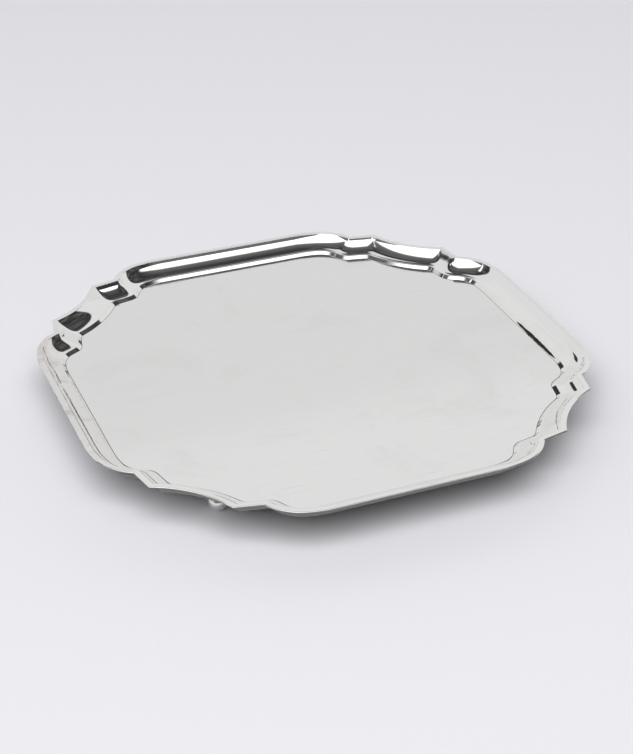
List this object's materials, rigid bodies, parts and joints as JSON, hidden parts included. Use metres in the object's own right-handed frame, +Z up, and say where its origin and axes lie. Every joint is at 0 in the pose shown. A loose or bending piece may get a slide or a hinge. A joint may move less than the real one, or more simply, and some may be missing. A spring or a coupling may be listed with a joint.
{
  "type": "salver",
  "caption": "Square silver salver with rounded shoulders, bracketed corners, a hollow-moulded border round a flat well, and ball feet.",
  "frame": {"origin": "on the resting plane under the middle of the well", "axes": "+Z up out of the well, +Y towards the back border, +X towards the right border"},
  "size_m": [0.305, 0.305, 0.0274],
  "materials": {
    "plate_silver": "mirror polish with fine wiping scratches",
    "border_silver": "mirror polish on a hollow moulding, duller in the inner angle",
    "foot_silver": "polished casting"
  },
  "bodies": {
    "root": {"well_plate": "plate_silver", "border_back": "border_silver", "border_right": "border_silver", "border_front": "border_silver", "border_left": "border_silver", "bracket_back_left": "border_silver", "bracket_back_right": "border_silver", "bracket_front_right": "border_silver", "bracket_front_left": "border_silver", "foot_back_left": "foot_silver", "foot_back_right": "foot_silver", "foot_front_right": "foot_silver", "foot_front_left": "foot_silver"}
  },
  "joints": []
}
